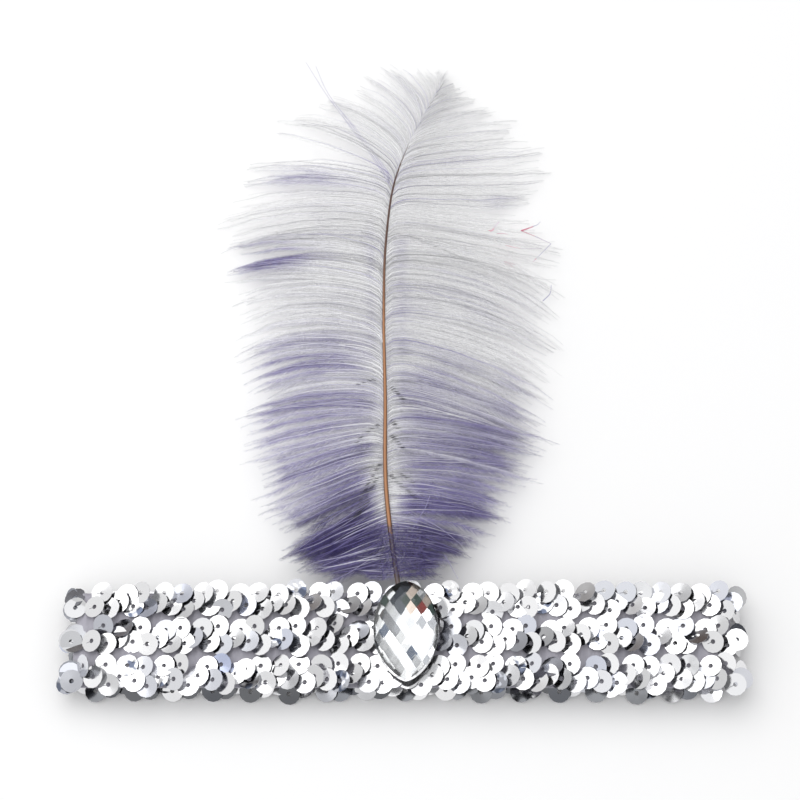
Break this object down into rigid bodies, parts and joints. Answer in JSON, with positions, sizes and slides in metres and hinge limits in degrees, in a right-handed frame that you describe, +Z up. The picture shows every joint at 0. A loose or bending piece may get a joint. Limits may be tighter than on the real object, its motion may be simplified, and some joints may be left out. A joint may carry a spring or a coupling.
{
  "type": "sequin headband with drop stone and plume",
  "caption": "Elastic headband loop covered in rows of silver cup sequins, lying flat, with a clear faceted drop stone at the front and an ostrich plume rising behind it.",
  "frame": {"origin": "on the floor under the middle of the band, at the middle of the back half's middle sequin row", "axes": "+X along the band, +Y the way the plume points, +Z up off the floor"},
  "size_m": [0.2119, 0.2333, 0.0201],
  "materials": {
    "elastic": "matt gathered elastic",
    "sequin": "silver metallised film, mirror bright",
    "gem": "polished clear stone with a silvered back",
    "shaft": "natural satin shaft",
    "plume": "soft matt down"
  },
  "bodies": {
    "root": {"elastic_band": "elastic", "sequin_row_top": "sequin", "sequin_row_middle": "sequin", "sequin_row_bottom": "sequin", "sequin_back_top": "sequin", "sequin_back_middle": "sequin", "sequin_back_bottom": "sequin", "gem": "gem", "feather_shaft": "shaft", "plume": "plume"}
  },
  "joints": []
}
